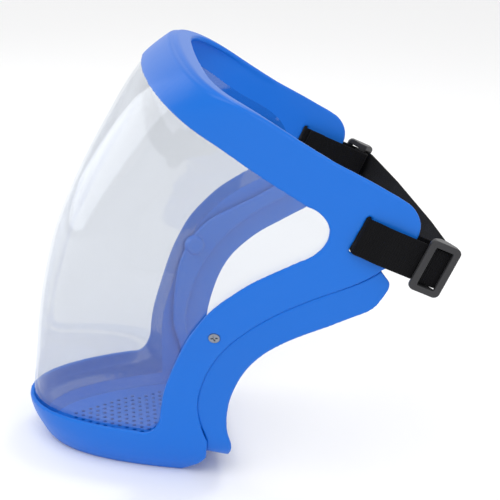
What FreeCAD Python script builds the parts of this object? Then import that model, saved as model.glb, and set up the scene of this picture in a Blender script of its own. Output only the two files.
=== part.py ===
import FreeCAD, Part
import math
import os

# Full-face protective shield: moulded frame, clear visor, face seal, grille,
# elastic strap with two sliders.  Millimetres, +Z up, wearer faces -Y,
# +X is the wearer's left, origin midway between the two strap slots.

V = FreeCAD.Vector

DIMS = {
    "frame_wall": 2.2,
    "part_gap": 0.4,
    "crease_gap": 0.3,
    "visor_sheet": 1.6,
    "visor_hidden_edge": 7.0,
    "seal_sheet": 1.8,
    "seal_lap": 6.0,
    "seal_round": 4.5,
    "screw_lap": 7.0,
    "brow_shelf": 2.4,
    "tray_bottom": -158.0,
    "tray_rim": -132.0,
    "tray_ledge": 7.0,
    "tray_ledge_thick": 2.0,
    "grille_thick": 1.8,
    "vent_hole": 2.4,
    "vent_pitch": 5.0,
    "strap_width": 20.0,
    "strap_thick": 1.3,
    "strap_droop": 22.0,
    "slot_length": 21.0,
    "slot_width": 2.4,
    "slot_middle": 1.3,
    "outer_tab": 87.9,
    "inner_tab": 82.0,
    "slider_front": 33.5,
    "slider_wide": 17.5,
    "slider_long": 28.0,
    "slider_opening": 21.4,
    "slider_bar": 3.8,
    "bar_thick": 2.1,
    "centre_bar": 4.2,
    "slider_corner": 3.0,
    "back_line": 50.5,
    "back_bow": 3.5,
    "tack_long": 14.0,
    "tack_wide": 2.0,
    "tack_high": 0.5,
    "screw_head": 6.0,
    "screw_head_high": 1.2,
    "screw_shank": 3.0,
    "screw_long": 6.8,
    "screw_slot": 0.9,
    "boss_wide": 11.6,
    "boss_draft": 1.2,
    "boss_floor": 1.2,
    "nut_flats": 5.5,
    "nut_high": 2.4,
    "washer_wide": 7.0,
    "washer_thick": 0.8,
}

# Plan sections of the mask: height, front, half width at the cheek line,
# outward lean of the cheek, front bluntness, cheek roundness.
STATIONS = [
    (-158, -152.0, 52.0, 0.10, 0.60, 0.50),
    (-150, -158.0, 57.0, 0.11, 0.60, 0.50),
    (-140, -163.0, 60.5, 0.12, 0.60, 0.50),
    (-130, -165.0, 62.0, 0.12, 0.60, 0.50),
    (-107, -163.5, 64.0, 0.13, 0.60, 0.50),
    (-84, -162.0, 67.0, 0.14, 0.60, 0.52),
    (-60, -159.0, 73.0, 0.13, 0.60, 0.54),
    (-30, -152.5, 79.0, 0.10, 0.62, 0.56),
    (0, -141.0, 83.0, 0.06, 0.64, 0.58),
    (30, -126.0, 86.5, 0.02, 0.68, 0.62),
    (55, -110.5, 89.0, -0.02, 0.74, 0.68),
    (68, -96.3, 89.4, -0.035, 0.74, 0.68),
    (82, -74.0, 86.0, -0.05, 0.70, 0.64),
]
PLUG_TOP = STATIONS[-1][0]
CHEEK_LINE = -45.0
REAR_PLANE = 45.0

# Side-view outlines, (y, z).
BAND_TOP = [(-92, 76.0), (-86, 73.9), (-76, 69.2), (-64, 64.2), (-52, 58.2), (-33.6, 47.3),
            (-15.8, 37.1), (2.2, 28.2), (22, 17.5)]
TEMPLE_TIP = [(22, 17.5), (28.5, 11.5), (31, 5), (30, -2)]
BAND_BOTTOM = [(-112, 62), (-102, 60.3), (-95, 56.5), (-85.5, 50.3), (-72, 42.4), (-57, 32.6),
               (-42, 23), (-26, 13.2)]
WINDOW_END = [(-26, 13.2), (-17, 7.2), (-14, 0.5), (-15.6, -7), (-20, -12.6), (-27, -16.8)]
WINDOW_ARM = [(-27, -16.8), (-41, -24.8), (-52, -32), (-61, -40), (-68.5, -48), (-74.5, -57.5),
              (-79.3, -67), (-83.5, -78.5), (-87, -90), (-90, -101), (-91.6, -111), (-92, -119)]
CREASE = [(14, -20), (5.5, -26.2), (-5.6, -32), (-24, -41.2), (-38.8, -50.6), (-49.8, -60),
          (-58.4, -70), (-65.4, -82), (-70.2, -95), (-72.4, -108), (-70.5, -122), (-66, -134)]
SEAL_EDGE = [(20.5, -28), (12, -42), (1.5, -47.8), (-19, -57.4), (-31, -64.8), (-40.6, -73),
             (-47.8, -83), (-52.8, -95), (-55.8, -107), (-56.6, -118), (-55.4, -129), (-53, -137)]
SCREW_SECTION = 6
HEAD_OPENING = [(85, -30), (84, -50), (78, -64), (62, -72), (34, -75.2), (0, -76)]
CHIN_CORNER = 14.0
CHIN_BOTTOM = -146.5
SCREW_SPOT = (-66.5, -65.7)


def sheet_setup(doc):
    sheet = doc.addObject("Spreadsheet::Sheet", "Dims")
    for row, (name, value) in enumerate(DIMS.items(), start=1):
        sheet.set("A%d" % row, name)
        sheet.set("B%d" % row, str(value))
        sheet.setAlias("B%d" % row, name)
    doc.recompute()
    return sheet


def station(z):
    """Section values at height z, smooth between the stations."""
    rows = STATIONS
    last = len(rows) - 2
    i = min(last, max(0, sum(1 for r in rows[1:-1] if r[0] <= z)))
    a = rows[i]
    b = rows[i + 1]
    before = rows[max(0, i - 1)]
    after = rows[min(last + 1, i + 2)]
    span = b[0] - a[0]
    t = (z - a[0]) / span
    out = []
    for k in range(1, 6):
        slope_a = (b[k] - before[k]) / (b[0] - before[0]) * span
        slope_b = (after[k] - a[k]) / (after[0] - a[0]) * span
        h = (2 * t ** 3 - 3 * t ** 2 + 1) * a[k] + (t ** 3 - 2 * t ** 2 + t) * slope_a
        h += (3 * t ** 2 - 2 * t ** 3) * b[k] + (t ** 3 - t ** 2) * slope_b
        out.append(h)
    return out


def section_poles(z, inset):
    """Front curve poles from the centre line to the cheek, and the rear point."""
    front, half, lean, blunt, cheek = station(z)
    front += inset
    half -= inset
    depth = CHEEK_LINE - front
    poles = [(0.0, front), (blunt * half, front)]
    poles.append((half - cheek * depth * lean, CHEEK_LINE - cheek * depth))
    poles.append((half, CHEEK_LINE))
    rear = (half + lean * (REAR_PLANE - CHEEK_LINE), REAR_PLANE)
    return poles, rear


def half_width(y, z, inset=0.0):
    """Half width of the section at (y, z)."""
    poles, rear = section_poles(z, inset)
    if y >= CHEEK_LINE:
        t = (y - CHEEK_LINE) / (REAR_PLANE - CHEEK_LINE)
        return poles[3][0] + t * (rear[0] - poles[3][0])
    low = 0.0
    high = 1.0
    for _ in range(40):
        t = 0.5 * (low + high)
        if bezier(poles, t)[1] < y:
            low = t
        else:
            high = t
    return bezier(poles, t)[0]


def bezier(poles, t):
    w = ((1 - t) ** 3, 3 * t * (1 - t) ** 2, 3 * t * t * (1 - t), t ** 3)
    return tuple(sum(w[i] * poles[i][k] for i in range(4)) for k in (0, 1))


def plug(inset, low, high, step=9.0):
    """Solid filling the mask's outer surface moved inwards by inset."""
    count = max(3, int(round((high - low) / step)) + 1)
    wires = []
    for i in range(count):
        z = low + (high - low) * i / (count - 1.0)
        poles, rear = section_poles(z, inset)
        right = [V(x, y, z) for x, y in poles]
        left = [V(-x, y, z) for x, y in reversed(poles)]
        edges = [Part.makeLine(V(-rear[0], rear[1], z), left[0])]
        for points in (left, right):
            curve = Part.BezierCurve()
            curve.setPoles(points)
            edges.append(curve.toShape())
        edges.append(Part.makeLine(right[3], V(rear[0], rear[1], z)))
        edges.append(Part.makeLine(V(rear[0], rear[1], z), V(-rear[0], rear[1], z)))
        wires.append(Part.Wire(edges))
    return Part.makeLoft(wires, True)


def spline_yz(points):
    curve = Part.BSplineCurve()
    curve.interpolate([V(0, y, z) for y, z in points])
    return curve.toShape()


def line_yz(points):
    return [Part.makeLine(V(0, *a), V(0, *b)) for a, b in zip(points, points[1:])]


def prism(edges, half=130.0):
    """Side-view outline pushed right through the mask along X."""
    face = Part.Face(Part.Wire(edges))
    face.translate(V(-half, 0, 0))
    return face.extrude(V(2 * half, 0, 0))


def shifted(points, distance):
    """Outline moved sideways, positive to the left of its direction."""
    out = []
    for i, (y, z) in enumerate(points):
        y0, z0 = points[max(0, i - 1)]
        y1, z1 = points[min(len(points) - 1, i + 1)]
        size = math.hypot(y1 - y0, z1 - z0)
        out.append((y - (z1 - z0) / size * distance, z + (y1 - y0) / size * distance))
    return out


def outline_keep(bottom):
    """Everything the frame covers in side view."""
    rear = [TEMPLE_TIP[-1], (25.5, -12.5), CREASE[0]]
    chin = [CREASE[-1], (-65.8, -146), (-69.5, -151.5), (-78, bottom)]
    edges = [spline_yz(BAND_TOP), spline_yz(TEMPLE_TIP)] + line_yz(rear)
    edges += [spline_yz(CREASE)] + line_yz(chin)
    edges += line_yz([chin[-1], (-190, bottom), (-190, BAND_TOP[0][1]), BAND_TOP[0]])
    return prism(edges)


def outline_window(rim):
    """Opening in the frame, closed off well in front of the mask."""
    corner = [WINDOW_ARM[-1], (-93.4, -126), (-97.5, rim + 0.8), (-103, rim)]
    edges = [spline_yz(BAND_BOTTOM), spline_yz(WINDOW_END), spline_yz(WINDOW_ARM)]
    edges += [spline_yz(corner)]
    edges += line_yz([corner[-1], (-190, rim), (-190, 62), BAND_BOTTOM[0]])
    return prism(edges)


def surface_frame(side):
    """Point and outward normal of the frame where the screw goes in."""
    y, z = SCREW_SPOT
    step = 0.5
    x = half_width(y, z)
    lean_y = (half_width(y + step, z) - half_width(y - step, z)) / (2 * step)
    lean_z = (half_width(y, z + step) - half_width(y, z - step)) / (2 * step)
    normal = V(side, -lean_y, -lean_z)
    normal.normalize()
    return V(side * x, y, z), normal


def screw_hole(d, side, radius, start, depth):
    """Cylinder from start to depth below the outer surface, along the screw."""
    point, normal = surface_frame(side)
    return Part.makeCylinder(radius, depth - start, point - normal * start, normal * -1)


def strap_placement(d):
    return FreeCAD.Placement(V(0, 0, 0), FreeCAD.Rotation(V(1, 0, 0), -d("strap_droop")))


def head_opening():
    """Upright prism through the hole that the forehead goes into."""
    points = [V(x, y, 30) for x, y in HEAD_OPENING]
    points += [V(-x, y, 30) for x, y in reversed(HEAD_OPENING[:-1])]
    curve = Part.BSplineCurve()
    curve.interpolate(points)
    rear = [points[-1], V(points[-1].x, 60, 30), V(points[0].x, 60, 30), points[0]]
    edges = [curve.toShape()] + [Part.makeLine(a, b) for a, b in zip(rear, rear[1:])]
    return Part.Face(Part.Wire(edges)).extrude(V(0, 0, 60))


def frame_shell(d):
    low = d("tray_bottom")
    wall = d("frame_wall")
    keep = outline_keep(low)
    shell = plug(0.0, low, PLUG_TOP).cut(plug(wall, low, PLUG_TOP)).common(keep)
    shell = shell.cut(outline_window(d("tray_rim")))
    under = shifted(BAND_TOP[:-2], -d("brow_shelf"))
    below = [spline_yz(under)]
    below += line_yz([under[-1], (under[-1][0], 100), (60, 100), (60, -10), (-190, -10),
                      (-190, under[0][1]), under[0]])
    shelf = plug(wall * 0.5, 30, PLUG_TOP).common(keep).cut(prism(below)).cut(head_opening())
    ledge_top = low + d("tray_ledge_thick")
    ledge = plug(wall * 0.5, low, ledge_top, 1.0)
    ledge = ledge.cut(plug(wall + d("tray_ledge"), low, ledge_top, 1.0)).common(keep)
    chin = plug(wall * 0.5, low, -145)
    chin = chin.common(Part.makeBox(150, 5.5, 12.5, V(-75, -76.5, low))).common(keep)
    body = shell.fuse([shelf, ledge, chin]).removeSplitter()
    slot = Part.makeBox(200, d("slot_width"), d("slot_length"))
    slot.translate(V(-100, d("slot_middle") - d("slot_width") / 2, -d("slot_length") / 2))
    slot.Placement = strap_placement(d).multiply(slot.Placement)
    body = body.cut(slot)
    for side in (1, -1):
        body = body.cut(screw_hole(d, side, d("screw_shank") / 2 + 0.25, -3, 8))
        body = body.cut(screw_hole(d, side, d("screw_head") / 2 + 0.35, -3, d("screw_head_high")))
    return body


def visor(d):
    inset = d("frame_wall") + d("part_gap")
    hide = d("visor_hidden_edge")
    skin = plug(inset, -150, PLUG_TOP).cut(plug(inset + d("visor_sheet"), -150, PLUG_TOP))
    top = shifted(BAND_BOTTOM, hide)
    end = shifted(WINDOW_END, hide)
    arm = shifted(WINDOW_ARM, hide)
    edges = [spline_yz(top[:-1] + end[1:3] + end[4:5] + arm[1:])]
    floor = (arm[-1][0] + 1.0, -147.0)
    edges += line_yz([arm[-1], floor, (-190, -147), (-190, top[0][1]), top[0]])
    outline = prism(edges)
    y, z = SCREW_SPOT
    lug = Part.makeCylinder(5.5, 260, V(-130, y, z), V(1, 0, 0))
    sheet = skin.common(outline.fuse(lug))
    for side in (1, -1):
        sheet = sheet.cut(screw_hole(d, side, d("screw_shank") / 2 + 0.25, -3, 10))
    return sheet


def seal_section(d, base, along, out, lap, reach, lip, flare=0.0):
    """Section of the seal: lap inside the frame, step at the crease, free lip.

    flare is how much further out the frame is at the end of the lap.
    """
    t = d("seal_sheet")
    under = d("frame_wall") + d("visor_sheet") + 2 * d("part_gap")
    step = d("crease_gap")
    corners = [(-lap, flare - under), (step, -under), (step, -lip[0]), (reach, -lip[1])]
    corners += [(reach, -lip[1] - t), (step + t, -lip[0] - t)]
    corners += [(step + t, -under - t), (-lap, flare - under - t)]
    points = [base + along * s + out * n for s, n in corners]
    return Part.makePolygon(points + [points[0]])


def seal_corner(radius):
    """What rounding the upper rear corner of the seal takes away."""
    tip = V(0, *SEAL_EDGE[0])
    up = V(0, *CREASE[0]) - tip
    down = V(0, *SEAL_EDGE[1]) - tip
    half = up.getAngle(down) / 2
    up.normalize()
    down.normalize()
    inwards = up + down
    inwards.normalize()
    back = radius / math.tan(half)
    middle = tip + inwards * (radius / math.sin(half) - radius)
    start = tip + up * back
    end = tip + down * back
    beyond = tip - inwards * radius
    edges = [Part.Arc(start, middle, end).toShape(), Part.makeLine(end, beyond)]
    return prism(edges + [Part.makeLine(beyond, start)])


def face_seal(d):
    sections = []
    count = len(CREASE)
    for i, (crease, edge) in enumerate(zip(CREASE, SEAL_EDGE)):
        base = V(half_width(*crease), crease[0], crease[1])
        along = V(0, edge[0] - crease[0], edge[1] - crease[1])
        reach = along.Length
        along.normalize()
        lap = min(d("seal_lap"), 3.0 * i)
        lap += d("screw_lap") * max(0.0, 1 - ((i - SCREW_SECTION) / 2.5) ** 2)
        end = base - along * lap
        flare = half_width(end.y, end.z) - base.x
        low = max(0.0, (i - SCREW_SECTION) / (count - 1.0 - SCREW_SECTION))
        lip = (0.4 + 1.6 * low, 0.8 - 1.4 * low)
        sections.append(seal_section(d, base, along, V(1, 0, 0), lap, reach, lip, flare))
    chin_lip = (2.0, -0.6)
    corner_x = half_width(*CREASE[-1]) - CHIN_CORNER
    corner_drop = CREASE[-1][1] - CHIN_BOTTOM
    for turn in (35, 65, 90):
        a = math.radians(turn)
        base = V(corner_x + CHIN_CORNER * math.cos(a), CREASE[-1][0],
                 CREASE[-1][1] - corner_drop * math.sin(a))
        out = V(math.cos(a), 0, -math.sin(a))
        sections.append(seal_section(d, base, V(0, 1, 0), out, d("seal_lap"), 13.0, chin_lip))
    base = V(0, CREASE[-1][0], CHIN_BOTTOM)
    sections.append(seal_section(d, base, V(0, 1, 0), V(0, 0, -1), d("seal_lap"), 12.0, chin_lip))
    for wire in reversed(sections[:-1]):
        points = [V(-v.X, v.Y, v.Z) for v in wire.OrderedVertexes]
        sections.append(Part.makePolygon(points + [points[0]]))
    seal = Part.makeLoft(sections, True).cut(seal_corner(d("seal_round")))
    inside = d("frame_wall") + d("visor_sheet") + 2 * d("part_gap")
    room = nut_depth(d) + 0.5
    wide = d("boss_wide") / 2
    for side in (1, -1):
        point, normal = surface_frame(side)
        boss = Part.makeCone(wide, wide - d("boss_draft"), room + d("boss_floor") - inside,
                             point - normal * inside, normal * -1)
        seal = seal.fuse(boss).cut(screw_hole(d, side, d("washer_wide") / 2 + 0.25, -3, room))
    return seal.removeSplitter()


def vent_grille(d):
    low = d("tray_bottom") + d("tray_ledge_thick") + 0.1
    inset = d("frame_wall") + d("part_gap")
    plate = plug(inset, low, low + d("grille_thick"), 1.0)
    plate = plate.common(Part.makeBox(200, 83, 20, V(-100, -160, low - 5)))
    pitch = d("vent_pitch")
    rise = pitch * math.sqrt(3) / 2
    holes = []
    for row in range(15):
        y = -147.0 + row * rise
        room = half_width(y, low, inset + d("tray_ledge") + d("vent_hole"))
        for col in range(-10, 11):
            x = (col + 0.5 * (row % 2)) * pitch
            if abs(x) < room:
                holes.append(Part.makeCylinder(d("vent_hole") / 2, 6, V(x, y, low - 2)))
    return plate.cut(Part.makeCompound(holes))


def bend_side(path, radii, offset):
    """Edges of one side of a bent ribbon, with every corner rounded."""
    count = len(path)
    heads = []
    for a, b in zip(path, path[1:]):
        size = math.hypot(b[0] - a[0], b[1] - a[1])
        heads.append(((b[0] - a[0]) / size, (b[1] - a[1]) / size))
    points = []
    for i in range(count):
        before = heads[max(0, i - 1)]
        after = heads[min(count - 2, i)]
        scale = offset / (1 + before[0] * after[0] + before[1] * after[1])
        points.append(V(path[i][0] - (before[1] + after[1]) * scale,
                        path[i][1] + (before[0] + after[0]) * scale, 0))
    edges = []
    here = points[0]
    for i in range(1, count - 1):
        before = V(heads[i - 1][0], heads[i - 1][1], 0)
        after = V(heads[i][0], heads[i][1], 0)
        turn = before.cross(after).z
        radius = radii[i - 1] - (offset if turn > 0 else -offset)
        half = 0.5 * before.getAngle(after)
        back = radius * math.tan(half)
        start = points[i] - before * back
        end = points[i] + after * back
        bisector = after - before
        bisector.normalize()
        middle = points[i] + bisector * (radius / math.cos(half) - radius)
        edges.append(Part.makeLine(here, start))
        edges.append(Part.Arc(start, middle, end).toShape())
        here = end
    edges.append(Part.makeLine(here, points[-1]))
    return edges, points[0], points[-1]


def webbing(d, path, radii, mirror=False):
    """Flat strap bent along a path of (x, distance behind the slot)."""
    half = d("strap_thick") / 2
    left, left_start, left_end = bend_side(path, radii, half)
    right, right_start, right_end = bend_side(path, radii, -half)
    ends = [Part.makeLine(left_start, right_start), Part.makeLine(left_end, right_end)]
    wire = Part.Wire(Part.__sortEdges__(left + right + ends))
    face = Part.Face(wire)
    face.translate(V(0, 0, -d("strap_width") / 2))
    solid = face.extrude(V(0, 0, d("strap_width")))
    if mirror:
        solid = solid.mirror(V(0, 0, 0), V(1, 0, 0))
    return solid


def run_x(d):
    """Middle of the outer webbing layer that reaches the slider."""
    return d("outer_tab") + 1.5 * d("strap_thick") + d("part_gap")


def hook_x(d):
    """Middle of the webbing that wraps over the slider's centre bar."""
    return run_x(d) - d("strap_thick") - d("part_gap")


def strap_main(d):
    x = run_x(d)
    back = d("back_line")
    bow = back + d("back_bow")
    path = [(x, 5), (x, back), (35, bow), (-35, bow), (-x, back), (-x, 5)]
    return webbing(d, path, [4.0, 90.0, 90.0, 4.0])


def strap_fold(d, mirror):
    outer = d("outer_tab") + d("strap_thick") / 2
    inner = d("inner_tab") - d("strap_thick") / 2
    through = d("slot_middle")
    path = [(outer, 17), (outer, through), (inner, through), (inner, 14)]
    return webbing(d, path, [1.2, 1.2], mirror)


def strap_end(d, mirror):
    inner = d("inner_tab") - 1.5 * d("strap_thick") - d("part_gap")
    top = hook_x(d)
    low = top - d("strap_thick") - d("bar_thick") - 2 * 0.4
    front = d("slider_front") + d("slider_wide") / 2 - d("centre_bar") / 2 - 0.4
    rear = front + d("centre_bar") + 2 * 0.4 + d("strap_thick")
    front -= d("strap_thick") / 2
    rear -= d("strap_thick") / 2
    path = [(inner, 9), (inner, rear), (top, rear), (top, front), (low, front), (low, rear - 1.6)]
    return webbing(d, path, [2.5, 1.2, 1.2, 1.2], mirror)


def stitch(d, side):
    front = d("slider_front") + d("slider_wide") / 2 + d("centre_bar") / 2 + 0.4 + d("strap_thick")
    x = hook_x(d) - d("strap_thick") - d("bar_thick") - 1.5 * 0.4
    corner = V(x - d("tack_wide"), front, -d("tack_long") / 2)
    tack = Part.makeBox(d("tack_wide"), d("tack_high"), d("tack_long"), corner)
    if side < 0:
        tack = tack.mirror(V(0, 0, 0), V(1, 0, 0))
    return tack


def add_shape(doc, name, shape, placement=None):
    feature = doc.addObject("Part::Feature", name)
    feature.Label = name
    feature.Shape = shape
    feature.Placement = placement or FreeCAD.Placement()
    return feature


def add_primitive(doc, kind, name, bindings):
    item = doc.addObject(kind, name)
    for prop, formula in bindings.items():
        item.setExpression(prop, formula)
    return item


def origin_plane(body, role):
    return [f for f in body.Origin.OriginFeatures if f.Role == role][0]


def slider(doc, d, name, side):
    """Three-bar slider; the centre bar sits nearer the head than the outer two.

    Its four outer corners are rounded, each an edge across the slider's thickness.
    """
    body = doc.addObject("PartDesign::Body", name)
    body.Label = name
    face = run_x(d) + d("strap_thick") / 2 + 0.4
    top = face + d("bar_thick")
    bar_top = hook_x(d) - d("strap_thick") / 2 - 0.4
    low = bar_top - d("bar_thick")
    front = d("slider_front")
    rear = front + d("slider_wide")
    bar = d("slider_bar")
    mid_front = (front + rear - d("centre_bar")) / 2
    mid_rear = mid_front + d("centre_bar")
    plate = [(top, front), (top, rear), (face, rear), (low, mid_rear), (low, mid_front), (face, front)]
    room = [(top + 2, front + bar), (top + 2, rear - bar), (face, rear - bar), (face, rear + 3),
            (low - 2, rear + 3), (low - 2, mid_rear), (bar_top, mid_rear), (bar_top, mid_front),
            (low - 2, mid_front), (low - 2, front - 3), (face, front - 3), (face, front + bar)]
    pad = add_feature(body, "PartDesign::Pad", name + "_plate", plate, side)
    pad.setExpression("Length", "Dims.slider_long")
    pad.Midplane = True
    doc.recompute()
    pocket = add_feature(body, "PartDesign::Pocket", name + "_room", room, side)
    pocket.setExpression("Length", "Dims.slider_opening")
    pocket.Midplane = True
    doc.recompute()
    corners = []
    for i, edge in enumerate(pocket.Shape.Edges, start=1):
        box = edge.BoundBox
        outer = min(abs(box.YMin - front), abs(box.YMin - rear)) < 1e-3
        if outer and box.YLength < 1e-3 and box.ZLength < 1e-3 and box.XLength > 1:
            corners.append("Edge%d" % i)
    fillet = body.newObject("PartDesign::Fillet", name + "_corners")
    fillet.Base = (pocket, corners)
    fillet.setExpression("Radius", "Dims.slider_corner")
    body.Placement = strap_placement(d)
    doc.recompute()
    return body


def add_feature(body, kind, name, corners, side):
    sketch = body.newObject("Sketcher::SketchObject", name + "_sketch")
    sketch.AttachmentSupport = [(origin_plane(body, "XY_Plane"), "")]
    sketch.MapMode = "FlatFace"
    points = [V(side * x, y, 0) for x, y in corners]
    for a, b in zip(points, points[1:] + points[:1]):
        sketch.addGeometry(Part.LineSegment(a, b), False)
    feature = body.newObject(kind, name)
    feature.Profile = sketch
    return feature


def fastener_placement(side, depth):
    point, normal = surface_frame(side)
    return FreeCAD.Placement(point - normal * depth, FreeCAD.Rotation(V(0, 0, 1), normal))


def screw(doc, d, name, side):
    head = add_primitive(doc, "Part::Cylinder", name + "_head",
                         {"Radius": "Dims.screw_head / 2", "Height": "Dims.screw_head_high - 0.1"})
    shank = add_primitive(doc, "Part::Cylinder", name + "_shank",
                          {"Radius": "Dims.screw_shank / 2", "Height": "Dims.screw_long",
                           "Placement.Base.z": "-Dims.screw_long"})
    slots = []
    for i, (along, across) in enumerate((("Length", "Width"), ("Width", "Length"))):
        axes = {"Length": "x", "Width": "y"}
        slots.append(add_primitive(doc, "Part::Box", "%s_slot%d" % (name, i + 1), {
            along: "Dims.screw_head * 0.62", across: "Dims.screw_slot", "Height": "2",
            "Placement.Base." + axes[along]: "-Dims.screw_head * 0.31",
            "Placement.Base." + axes[across]: "-Dims.screw_slot / 2",
            "Placement.Base.z": "0.35"}))
    solid = doc.addObject("Part::MultiFuse", name + "_solid")
    solid.Shapes = [head, shank]
    cross = doc.addObject("Part::MultiFuse", name + "_cross")
    cross.Shapes = slots
    cut = doc.addObject("Part::Cut", name)
    cut.Base = solid
    cut.Tool = cross
    cut.Label = name
    cut.Placement = fastener_placement(side, d("screw_head_high"))
    return cut


def ring(doc, name, kind, outer, height, bore, placement):
    """Washer or nut: a disc or hexagon with a plain bore."""
    blank = add_primitive(doc, kind, name + "_blank", {outer[0]: outer[1], "Height": height})
    hole = add_primitive(doc, "Part::Cylinder", name + "_bore", {"Radius": bore, "Height": height})
    cut = doc.addObject("Part::Cut", name)
    cut.Base = blank
    cut.Tool = hole
    cut.Label = name
    cut.Placement = placement
    return cut


def washer_depth(d):
    """Depth of the washer's far face below the outside of the frame."""
    return d("frame_wall") + d("visor_sheet") + d("part_gap") + 0.1 + d("washer_thick")


def nut_depth(d):
    return washer_depth(d) + 0.1 + d("nut_high")


def fasteners(doc, d, side, tag):
    washer = ring(doc, "washer_" + tag, "Part::Cylinder", ("Radius", "Dims.washer_wide / 2"),
                  "Dims.washer_thick", "Dims.screw_shank / 2 + 0.25",
                  fastener_placement(side, washer_depth(d)))
    nut = ring(doc, "nut_" + tag, "Part::Prism", ("Circumradius", "Dims.nut_flats / sqrt(3)"),
               "Dims.nut_high", "Dims.screw_shank / 2 + 0.15",
               fastener_placement(side, nut_depth(d)))
    return [screw(doc, d, "screw_" + tag, side), washer, nut]


def check(feature):
    shape = feature.Shape
    state = [s for s in feature.State if s != "Up-to-date"]
    assert not state and shape.isValid() and len(shape.Solids) == 1, (feature.Label, state)


def build():
    doc = FreeCAD.newDocument("face_shield")
    sheet = sheet_setup(doc)

    def d(name):
        return float(sheet.get(name))

    made = [add_shape(doc, f.__name__, f(d)) for f in (frame_shell, visor, face_seal, vent_grille)]
    tilt = strap_placement(d)
    made.append(add_shape(doc, "strap_main", strap_main(d), tilt))
    for side, tag in ((1, "left"), (-1, "right")):
        made.append(add_shape(doc, "strap_fold_" + tag, strap_fold(d, side < 0), tilt))
        made.append(add_shape(doc, "strap_end_" + tag, strap_end(d, side < 0), tilt))
        made.append(add_shape(doc, "stitch_" + tag, stitch(d, side), tilt))
        made.append(slider(doc, d, "slider_" + tag, side))
        made += fasteners(doc, d, side, tag)
    doc.recompute()
    os.makedirs("parts", exist_ok=True)
    for feature in made:
        check(feature)
        feature.Shape.exportStep("parts/%s.step" % feature.Label)


build()
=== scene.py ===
import math

import bmesh
import bpy
import numpy as np
from mathutils import Matrix, Vector


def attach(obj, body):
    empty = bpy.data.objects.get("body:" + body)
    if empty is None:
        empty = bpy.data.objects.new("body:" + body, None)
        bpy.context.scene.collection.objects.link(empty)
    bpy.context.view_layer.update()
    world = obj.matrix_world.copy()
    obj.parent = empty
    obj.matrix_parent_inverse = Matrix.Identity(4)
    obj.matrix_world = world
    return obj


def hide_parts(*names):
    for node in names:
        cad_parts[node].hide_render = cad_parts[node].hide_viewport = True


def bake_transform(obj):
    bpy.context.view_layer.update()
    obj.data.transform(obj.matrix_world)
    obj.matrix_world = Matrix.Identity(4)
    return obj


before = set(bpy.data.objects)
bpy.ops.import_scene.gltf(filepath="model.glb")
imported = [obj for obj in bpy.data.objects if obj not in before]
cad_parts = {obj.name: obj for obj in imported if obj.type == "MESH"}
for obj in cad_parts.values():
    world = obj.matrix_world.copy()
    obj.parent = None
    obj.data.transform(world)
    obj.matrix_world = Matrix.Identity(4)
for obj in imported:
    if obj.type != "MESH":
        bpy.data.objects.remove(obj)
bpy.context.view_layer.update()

MM = 0.001
DROOP = math.radians(22.0)
STRAP_WIDTH = 20.0
STRAP_THICK = 1.3
FLOOR_Z = -158.2
FLOOR_REACH = 6.0

# Distances of the webbing's runs from the middle, from inside to outside.
TAIL_X = 79.65
INNER_TAB_X = 81.35
BAR_X = 84.35
OUTER_RUN_X = 88.55
BAND_X = 90.25

# Where the viewer stands, in metres, and which way is right and ahead.
VIEW_SPOT = (0.5688, -0.1308, 0.1814)
VIEW_RIGHT = (0.1338, 0.9892, 0.0605)
VIEW_AHEAD = (-0.9203, 0.1474, -0.3625)
VIEW_LENS = 77.3

# Plan sections of the mask: height, front, half width at the cheek line,
# outward lean of the cheek, front bluntness, cheek roundness.
STATIONS = np.array([
    (-158, -152.0, 52.0, 0.10, 0.60, 0.50),
    (-150, -158.0, 57.0, 0.11, 0.60, 0.50),
    (-140, -163.0, 60.5, 0.12, 0.60, 0.50),
    (-130, -165.0, 62.0, 0.12, 0.60, 0.50),
    (-107, -163.5, 64.0, 0.13, 0.60, 0.50),
    (-84, -162.0, 67.0, 0.14, 0.60, 0.52),
    (-60, -159.0, 73.0, 0.13, 0.60, 0.54),
    (-30, -152.5, 79.0, 0.10, 0.62, 0.56),
    (0, -141.0, 83.0, 0.06, 0.64, 0.58),
    (30, -126.0, 86.5, 0.02, 0.68, 0.62),
    (55, -110.5, 89.0, -0.02, 0.74, 0.68),
    (68, -96.3, 89.4, -0.035, 0.74, 0.68),
    (82, -74.0, 86.0, -0.05, 0.70, 0.64),
], float)
CHEEK_LINE = -45.0
HALVINGS = 26


# ---------------------------------------------------------------- materials

def material(name, color, roughness=0.4, **sockets):
    mat = bpy.data.materials.new(name)
    mat.use_nodes = True
    shader = mat.node_tree.nodes["Principled BSDF"]
    shader.inputs["Base Color"].default_value = (*color, 1.0)
    shader.inputs["Roughness"].default_value = roughness
    for key, value in sockets.items():
        shader.inputs[key.replace("_", " ")].default_value = value
    return mat, mat.node_tree, shader


def add_bump(tree, shader, height, strength, distance, normal=None):
    bump = tree.nodes.new("ShaderNodeBump")
    bump.inputs["Strength"].default_value = strength
    bump.inputs["Distance"].default_value = distance
    tree.links.new(height, bump.inputs["Height"])
    if normal is not None:
        tree.links.new(normal, bump.inputs["Normal"])
    tree.links.new(bump.outputs["Normal"], shader.inputs["Normal"])


def noise(tree, scale, detail=2.0):
    coords = tree.nodes.new("ShaderNodeTexCoord")
    texture = tree.nodes.new("ShaderNodeTexNoise")
    texture.inputs["Scale"].default_value = scale
    texture.inputs["Detail"].default_value = detail
    tree.links.new(coords.outputs["Object"], texture.inputs["Vector"])
    return texture.outputs["Fac"]


def soft_edges(tree, radius):
    bevel = tree.nodes.new("ShaderNodeBevel")
    bevel.samples = 4
    bevel.inputs["Radius"].default_value = radius
    return bevel.outputs["Normal"]


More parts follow.
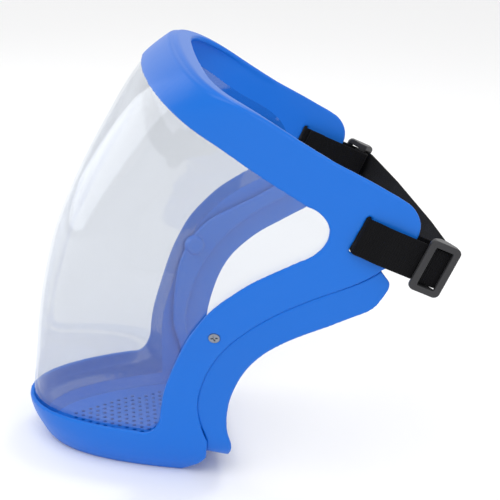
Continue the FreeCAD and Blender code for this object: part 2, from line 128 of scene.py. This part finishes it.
def moulded(name, color, roughness, edge=0.0008):
    mat, tree, shader = material(name, color, roughness)
    shader.inputs["Specular IOR Level"].default_value = 0.2
    shader.inputs["Coat Weight"].default_value = 0.16
    shader.inputs["Coat Roughness"].default_value = 0.14
    add_bump(tree, shader, noise(tree, 900.0, 3.0), 0.05, 0.0002, soft_edges(tree, edge))
    return mat


frame_blue = moulded("frame_blue", (0.006, 0.155, 0.66), 0.38)
seal_blue = moulded("seal_blue", (0.006, 0.15, 0.64), 0.42)
slider_black = moulded("slider_black", (0.034, 0.034, 0.037), 0.36, 0.0004)

steel, steel_tree, steel_shader = material("steel", (0.3, 0.32, 0.35), 0.16, Metallic=1.0)
add_bump(steel_tree, steel_shader, noise(steel_tree, 2500.0), 0.1, 0.0001,
         soft_edges(steel_tree, 0.0003))


def clear_sheet():
    mat = bpy.data.materials.new("visor_clear")
    mat.use_nodes = True
    tree = mat.node_tree
    tree.nodes.clear()
    out = tree.nodes.new("ShaderNodeOutputMaterial")
    through = tree.nodes.new("ShaderNodeBsdfTransparent")
    through.inputs["Color"].default_value = (0.885, 0.896, 0.912, 1.0)
    gloss = tree.nodes.new("ShaderNodeBsdfGlossy")
    gloss.inputs["Color"].default_value = (0.95, 0.97, 1.0, 1.0)
    gloss.inputs["Roughness"].default_value = 0.04
    facing = tree.nodes.new("ShaderNodeLayerWeight")
    facing.inputs["Blend"].default_value = 0.5
    power = tree.nodes.new("ShaderNodeMath")
    power.operation = "POWER"
    power.inputs[1].default_value = 4.0
    tree.links.new(facing.outputs["Facing"], power.inputs[0])
    rise = tree.nodes.new("ShaderNodeMath")
    rise.operation = "MULTIPLY_ADD"
    rise.inputs[1].default_value = 0.55
    rise.inputs[2].default_value = 0.06
    tree.links.new(power.outputs[0], rise.inputs[0])
    mix = tree.nodes.new("ShaderNodeMixShader")
    tree.links.new(rise.outputs[0], mix.inputs["Fac"])
    tree.links.new(through.outputs["BSDF"], mix.inputs[1])
    tree.links.new(gloss.outputs["BSDF"], mix.inputs[2])
    tree.links.new(mix.outputs["Shader"], out.inputs["Surface"])
    return mat


visor_clear = clear_sheet()


def woven():
    mat, tree, shader = material("strap_black", (0.003, 0.003, 0.004), 0.8)
    shader.inputs["Specular IOR Level"].default_value = 0.12
    shader.inputs["Sheen Weight"].default_value = 0.03
    shader.inputs["Sheen Roughness"].default_value = 0.5
    uv = tree.nodes.new("ShaderNodeUVMap")
    uv.uv_map = "UVMap"
    split = tree.nodes.new("ShaderNodeSeparateXYZ")
    tree.links.new(uv.outputs["UV"], split.inputs["Vector"])
    waves = []
    for axis, per_mm in (("X", 0.75), ("Y", 1.1)):
        scale = tree.nodes.new("ShaderNodeMath")
        scale.operation = "MULTIPLY"
        scale.inputs[1].default_value = 2 * math.pi * per_mm
        tree.links.new(split.outputs[axis], scale.inputs[0])
        wave = tree.nodes.new("ShaderNodeMath")
        wave.operation = "SINE"
        tree.links.new(scale.outputs[0], wave.inputs[0])
        waves.append(wave.outputs[0])
    product = tree.nodes.new("ShaderNodeMath")
    product.operation = "MULTIPLY"
    tree.links.new(waves[0], product.inputs[0])
    tree.links.new(waves[1], product.inputs[1])
    total = tree.nodes.new("ShaderNodeMath")
    total.operation = "ADD"
    tree.links.new(product.outputs[0], total.inputs[0])
    tree.links.new(waves[0], total.inputs[1])
    add_bump(tree, shader, total.outputs[0], 0.6, 0.0002)
    return mat


strap_black = woven()


# ------------------------------------------------------- mask surface maths

def station(z):
    """Section values at heights z, smooth between the stations."""
    rows = STATIONS
    z = np.asarray(z, float)
    i = np.clip(np.searchsorted(rows[1:-1, 0], z, side="right"), 0, len(rows) - 2)
    a = rows[i]
    b = rows[i + 1]
    before = rows[np.maximum(i - 1, 0)]
    after = rows[np.minimum(i + 2, len(rows) - 1)]
    span = (b[:, 0] - a[:, 0])[:, None]
    t = (z[:, None] - a[:, :1]) / span
    slope_a = (b - before) / (b[:, :1] - before[:, :1]) * span
    slope_b = (after - a) / (after[:, :1] - a[:, :1]) * span
    h = (2 * t ** 3 - 3 * t ** 2 + 1) * a + (t ** 3 - 2 * t ** 2 + t) * slope_a
    h += (3 * t ** 2 - 2 * t ** 3) * b + (t ** 3 - t ** 2) * slope_b
    return h[:, 1], h[:, 2], h[:, 3], h[:, 4], h[:, 5]


def half_width(y, z):
    """Half width of the section at (y, z), in mm, for arrays."""
    front, half, lean, blunt, cheek = station(z)
    depth = CHEEK_LINE - front
    y = np.asarray(y, float)
    low = np.zeros_like(y)
    high = np.ones_like(y)
    for _ in range(HALVINGS):
        t = 0.5 * (low + high)
        y_t = ((1 - t) ** 3 + 3 * t * (1 - t) ** 2) * front
        y_t += 3 * t * t * (1 - t) * (CHEEK_LINE - cheek * depth) + t ** 3 * CHEEK_LINE
        low = np.where(y_t < y, t, low)
        high = np.where(y_t < y, high, t)
    x = 3 * t * (1 - t) ** 2 * blunt * half
    x += 3 * t * t * (1 - t) * (half - cheek * depth * lean) + t ** 3 * half
    return np.where(y > CHEEK_LINE, half + lean * (y - CHEEK_LINE), x)


# ------------------------------------------------------------------ helpers

def add_object(name, mesh, mat):
    obj = bpy.data.objects.new(name, mesh)
    bpy.context.scene.collection.objects.link(obj)
    mesh.materials.clear()
    mesh.materials.append(mat)
    return obj


def cad_material(node, mat):
    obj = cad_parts[node]
    obj.data.materials.clear()
    obj.data.materials.append(mat)
    return obj


def apply_modifiers(obj):
    graph = bpy.context.evaluated_depsgraph_get()
    mesh = bpy.data.meshes.new_from_object(obj.evaluated_get(graph))
    obj.modifiers.clear()
    obj.data = mesh


def set_smooth(mesh):
    mesh.polygons.foreach_set("use_smooth", [True] * len(mesh.polygons))


def softened(node, name, mat, body, voxel, rounds, reshape=None):
    """Finely meshed copy of a CAD node with every edge rounded."""
    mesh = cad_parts[node].data.copy()
    mesh.transform(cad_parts[node].matrix_world)
    obj = add_object(name, mesh, mat)
    remesh = obj.modifiers.new("remesh", "REMESH")
    remesh.mode = "VOXEL"
    remesh.voxel_size = voxel * MM
    apply_modifiers(obj)
    if reshape is not None:
        points = np.empty(len(obj.data.vertices) * 3)
        normals = np.empty_like(points, dtype=np.float32)
        obj.data.vertices.foreach_get("co", points)
        obj.data.vertex_normals.foreach_get("vector", normals)
        points = reshape(points.reshape(-1, 3) / MM, normals.reshape(-1, 3)) * MM
        obj.data.vertices.foreach_set("co", points.ravel())
    smooth = obj.modifiers.new("smooth", "SMOOTH")
    smooth.factor = 0.5
    smooth.iterations = rounds
    apply_modifiers(obj)
    set_smooth(obj.data)
    obj.data.materials.clear()
    obj.data.materials.append(mat)
    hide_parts(node)
    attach(obj, body)


# ---------------------------------------------------------------- brow edge

BROW_LINE = np.array([(-92, 76.0), (-86, 73.9), (-76, 69.2), (-64, 64.2), (-52, 58.2),
                      (-33.6, 47.3), (-15.8, 37.1), (2.2, 28.2), (22, 17.5)])
BROW_RADII = np.array([(-84, 3.6), (-70, 2.6), (-50, 2.0), (10, 1.8), (18, 1.0)])
BROW_DEPTH = 6.0

# The copies of the frame and seal swell towards each other to close the crease.
SHELL_SWELL = 0.1
SEAL_SWELL = 0.7
SEAL_FADE = (-10.0, 3.0)


def nearest_on_section(x, y, z):
    """Horizontal distance inside the outer surface and its plan normal."""
    front, half, lean, blunt, cheek = station(z)
    depth = CHEEK_LINE - front
    p1 = blunt * half
    p2x = half - cheek * depth * lean
    p2y = CHEEK_LINE - cheek * depth

    def curve(t):
        a = 3 * t * (1 - t) ** 2
        b = 3 * t * t * (1 - t)
        cx = a * p1 + b * p2x + t ** 3 * half
        cy = ((1 - t) ** 3 + a) * front + b * p2y + t ** 3 * CHEEK_LINE
        return cx, cy

    best = np.full(x.shape, 1e9)
    at = np.zeros_like(x)
    for t in np.linspace(0.0, 1.0, 33):
        cx, cy = curve(np.full_like(x, t))
        d = (cx - x) ** 2 + (cy - y) ** 2
        at = np.where(d < best, t, at)
        best = np.minimum(d, best)
    for step in (0.02, 0.01, 0.005, 0.0025, 0.0012):
        for sign in (1, -1):
            trial = np.clip(at + sign * step, 0, 1)
            cx, cy = curve(trial)
            d = (cx - x) ** 2 + (cy - y) ** 2
            at = np.where(d < best, trial, at)
            best = np.minimum(d, best)
    ax, ay = curve(np.clip(at - 0.01, 0, 1))
    bx, by = curve(np.clip(at + 0.01, 0, 1))
    cx, cy = curve(at)
    tx, ty = bx - ax, by - ay
    size = np.hypot(tx, ty)
    nx, ny = ty / size, -tx / size
    return (cx - x) * nx + (cy - y) * ny, nx, ny


def brow_height(y):
    return np.interp(y, BROW_LINE[:, 0], BROW_LINE[:, 1])


def round_brow(points, normals):
    """Roll the outer top edge over a soft radius, largest in front."""
    out = points + normals * SHELL_SWELL
    top = brow_height(points[:, 1])
    pick = (points[:, 2] > top - BROW_DEPTH) & (points[:, 1] < BROW_RADII[-1, 0])
    x, y, z = points[pick].T
    side = np.sign(x)
    x = np.abs(x)
    inside, nx, ny = nearest_on_section(x, np.minimum(y, CHEEK_LINE), z)
    above, _, _ = nearest_on_section(x, np.minimum(y, CHEEK_LINE), z + 1.0)
    behind = y > CHEEK_LINE
    inside = np.where(behind, half_width(y, z) - x, inside)
    above = np.where(behind, half_width(y, z + 1.0) - x, above)
    nx = np.where(behind, 1.0, nx)
    ny = np.where(behind, 0.0, ny)
    rise = above - inside
    scale = 1.0 / np.sqrt(1 + rise ** 2)
    depth = inside * scale
    normal = np.stack([nx * side, ny, -rise]) * scale
    line_z = brow_height(y)
    slope = brow_height(y + 1) - line_z
    tilt = 1.0 / np.sqrt(1 + slope ** 2)
    below = (line_z - z) * tilt
    up = np.stack([np.zeros_like(y), -slope * tilt, tilt])
    radius = np.interp(y, BROW_RADII[:, 0], BROW_RADII[:, 1])
    u = radius - depth
    v = radius - below
    reach = np.hypot(u, v)
    move = (u > 0) & (v > 0) & (reach > radius)
    keep = np.where(move, radius / np.maximum(reach, 1e-6), 1.0)
    shift = -(normal * (u * (1 - keep)) + up * (v * (1 - keep)))
    out[pick] += np.where(move, shift, 0.0).T
    return out


def close_crease(points, normals):
    """Swell the seal against the frame, but not where the strap's tails pass it."""
    amount = np.interp(points[:, 1], SEAL_FADE, (SEAL_SWELL, 0.0))
    return points + normals * amount[:, None]


softened("frame_shell", "frame_shell_moulding", frame_blue, "shield", 0.6, 8, round_brow)
softened("face_seal", "face_seal_moulding", seal_blue, "shield", 0.5, 3, close_crease)
cad_material("vent_grille", frame_blue)
visor = cad_material("visor", visor_clear)
visor.visible_shadow = False
visor.visible_diffuse = False
for tag in ("left", "right"):
    softened("slider_" + tag, "slider_moulding_" + tag, slider_black, tag + "_slider", 0.3, 5)
    for kind in ("screw_", "washer_", "nut_"):
        cad_material(kind + tag, steel)


# ------------------------------------------------------------------ webbing

ALONG = Vector((0.0, math.cos(DROOP), -math.sin(DROOP)))
ACROSS = Vector((0.0, math.sin(DROOP), math.cos(DROOP)))


def rounded_path(corners, radii, spacing=0.8):
    """Points along a path of (x, distance behind the slot), corners rounded."""
    pts = [Vector((c[0], c[1], 0)) for c in corners]
    out = [pts[0]]
    for i in range(1, len(pts) - 1):
        before = (pts[i] - pts[i - 1]).normalized()
        after = (pts[i + 1] - pts[i]).normalized()
        angle = before.angle(after)
        back = radii[i - 1] * math.tan(angle / 2)
        start = pts[i] - before * back
        turn = 1.0 if before.cross(after).z > 0 else -1.0
        centre = start + Vector((-before.y, before.x, 0)) * turn * radii[i - 1]
        count = max(4, int(radii[i - 1] * angle / spacing))
        for k in range(count + 1):
            spin = Matrix.Rotation(turn * angle * k / count, 3, "Z")
            out.append(centre + spin @ (start - centre))
    out.append(pts[-1])
    dense = [out[0]]
    for a, b in zip(out, out[1:]):
        steps = max(1, int((b - a).length / (spacing * 2)))
        dense += [a.lerp(b, k / steps) for k in range(1, steps + 1)]
    return [p for i, p in enumerate(dense) if i == 0 or (p - dense[i - 1]).length > 1e-4]


def web_profile(width, thick):
    """Section of the webbing: flat faces, rounded selvedges."""
    half = width / 2
    flat = half - thick * 0.5
    top = [(w, thick / 2) for w in np.linspace(-flat, flat, 15)]
    right = [(flat + math.sin(a) * thick / 2, math.cos(a) * thick / 2)
             for a in np.linspace(0.5, math.pi - 0.5, 5)]
    bottom = [(w, -thick / 2) for w in np.linspace(flat, -flat, 15)]
    left = [(-flat - math.sin(a) * thick / 2, -math.cos(a) * thick / 2)
            for a in np.linspace(0.5, math.pi - 0.5, 5)]
    return top + right + bottom + left


def webbing(name, corners, radii, mirror=False):
    """Woven ribbon swept along a path, with its UVs in millimetres."""
    path = rounded_path(corners, radii)
    section = web_profile(STRAP_WIDTH, STRAP_THICK)
    size = len(section)
    verts = []
    run = [0.0]
    for i, point in enumerate(path):
        before = path[max(0, i - 1)]
        after = path[min(len(path) - 1, i + 1)]
        head = (after - before).normalized()
        side = Vector((-head.y, head.x, 0))
        if i:
            run.append(run[-1] + (point - path[i - 1]).length)
        for w, h in section:
            flat = point + side * h
            spot = Vector((flat.x, 0, 0)) + ALONG * flat.y + ACROSS * w
            if mirror:
                spot.x = -spot.x
            verts.append(spot * MM)
    faces = []
    uvs = []
    girth = [w for w, h in section]
    for i in range(len(path) - 1):
        for k in range(size):
            j = (k + 1) % size
            faces.append((i * size + k, i * size + j, (i + 1) * size + j, (i + 1) * size + k))
            uvs += [(run[i], girth[k]), (run[i], girth[j]), (run[i + 1], girth[j]),
                    (run[i + 1], girth[k])]
    last = (len(path) - 1) * size
    faces.append(tuple(reversed(range(size))))
    uvs += [(run[0], girth[k]) for k in reversed(range(size))]
    faces.append(tuple(last + k for k in range(size)))
    uvs += [(run[-1], girth[k]) for k in range(size)]
    mesh = bpy.data.meshes.new(name)
    mesh.from_pydata([tuple(v) for v in verts], [], faces)
    layer = mesh.uv_layers.new(name="UVMap")
    layer.data.foreach_set("uv", [c for uv in uvs for c in uv])
    tidy = bmesh.new()
    tidy.from_mesh(mesh)
    bmesh.ops.recalc_face_normals(tidy, faces=tidy.faces)
    tidy.to_mesh(mesh)
    tidy.free()
    set_smooth(mesh)
    return add_object(name, mesh, strap_black)


def outer_webbing():
    """Inner tab, slot, outer run and back line, as one ribbon from side to side."""
    half = [(INNER_TAB_X, 14.0), (INNER_TAB_X, 1.3), (OUTER_RUN_X, 1.3), (OUTER_RUN_X, 6.0),
            (BAND_X, 14.0), (BAND_X, 50.5), (35.0, 54.0)]
    corners = half + [(-x, s) for x, s in reversed(half)]
    radii = [1.2, 1.2, 14.0, 14.0, 4.0, 90.0]
    band = webbing("strap_webbing", corners, radii + list(reversed(radii)))
    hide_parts("strap_main", "strap_fold_left", "strap_fold_right")
    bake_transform(band)


def slider_webbing(tag):
    corners = [(TAIL_X, 4.0), (TAIL_X, 45.4), (OUTER_RUN_X, 45.4), (OUTER_RUN_X, 39.1),
               (BAR_X, 39.1), (BAR_X, 43.8)]
    band = webbing("strap_tail_" + tag, corners, [2.5, 1.2, 1.2, 1.2], tag == "right")
    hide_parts("strap_end_" + tag)
    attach(band, tag + "_slider")
    cad_material("stitch_" + tag, strap_black)


outer_webbing()
for tag in ("left", "right"):
    slider_webbing(tag)


# ------------------------------------------------------------ studio and view

def area_light(name, spot, target, size, power):
    data = bpy.data.lights.new(name, "AREA")
    data.shape = "RECTANGLE"
    data.size, data.size_y = size
    data.energy = power
    light = bpy.data.objects.new(name, data)
    light.location = spot
    light.rotation_mode = "QUATERNION"
    light.rotation_quaternion = (Vector(target) - Vector(spot)).to_track_quat("-Z", "Y")
    light.visible_camera = False
    bpy.context.scene.collection.objects.link(light)


def sky_light(name, towards, strength, spread):
    """Very wide overhead softbox: the same on the floor near and far."""
    data = bpy.data.lights.new(name, "SUN")
    data.energy = strength
    data.angle = math.radians(spread)
    light = bpy.data.objects.new(name, data)
    light.rotation_mode = "QUATERNION"
    light.rotation_quaternion = Vector(towards).to_track_quat("Z", "Y")
    bpy.context.scene.collection.objects.link(light)


def studio():
    floor_mesh = bpy.data.meshes.new("floor")
    sides = ((-1, -1), (1, -1), (1, 1), (-1, 1))
    corners = [(x * FLOOR_REACH, y * FLOOR_REACH, FLOOR_Z * MM) for x, y in sides]
    floor_mesh.from_pydata(corners, [], [(0, 1, 2, 3)])
    floor_mat, _, _ = material("floor_white", (0.95, 0.95, 0.955), 0.7)
    floor = add_object("floor", floor_mesh, floor_mat)
    world = bpy.data.worlds.new("studio")
    bpy.context.scene.world = world
    world.use_nodes = True
    tree = world.node_tree
    sky = tree.nodes["Background"]
    sky.inputs["Color"].default_value = (1, 1, 1, 1)
    coords = tree.nodes.new("ShaderNodeTexCoord")
    split = tree.nodes.new("ShaderNodeSeparateXYZ")
    fade = tree.nodes.new("ShaderNodeMapRange")
    tree.links.new(coords.outputs["Generated"], split.inputs["Vector"])
    tree.links.new(split.outputs["Z"], fade.inputs["Value"])
    fade.inputs["From Min"].default_value = 0.03
    fade.inputs["From Max"].default_value = 0.35
    fade.inputs["To Min"].default_value = 0.97
    fade.inputs["To Max"].default_value = 0.58
    tree.links.new(fade.outputs["Result"], sky.inputs["Strength"])
    sky_light("key", (0.35, -0.3, 1.0), 1.25, 50.0)
    area_light("panel", (-0.55, -0.75, 0.26), (0, -0.06, 0.0), (0.8, 0.8), 1.7)
    area_light("side", (1.1, 0.5, 0.5), (0, -0.06, 0.0), (0.7, 0.7), 2.4)
    area_light("rim", (-0.45, 0.35, 0.9), (0, -0.05, 0.04), (0.35, 0.35), 2.2)


def camera():
    data = bpy.data.cameras.new("camera")
    data.sensor_width = 36.0
    data.lens = VIEW_LENS
    cam = bpy.data.objects.new("camera", data)
    bpy.context.scene.collection.objects.link(cam)
    right = Vector(VIEW_RIGHT)
    ahead = Vector(VIEW_AHEAD).normalized()
    right = (right - ahead * right.dot(ahead)).normalized()
    up = right.cross(ahead)
    cam.matrix_world = Matrix((
        (right.x, up.x, -ahead.x, VIEW_SPOT[0]),
        (right.y, up.y, -ahead.y, VIEW_SPOT[1]),
        (right.z, up.z, -ahead.z, VIEW_SPOT[2]),
        (0, 0, 0, 1)))
    data.clip_start = 0.05
    data.clip_end = 20.0
    bpy.context.scene.camera = cam


studio()
camera()
bpy.context.scene.view_settings.view_transform = "Standard"
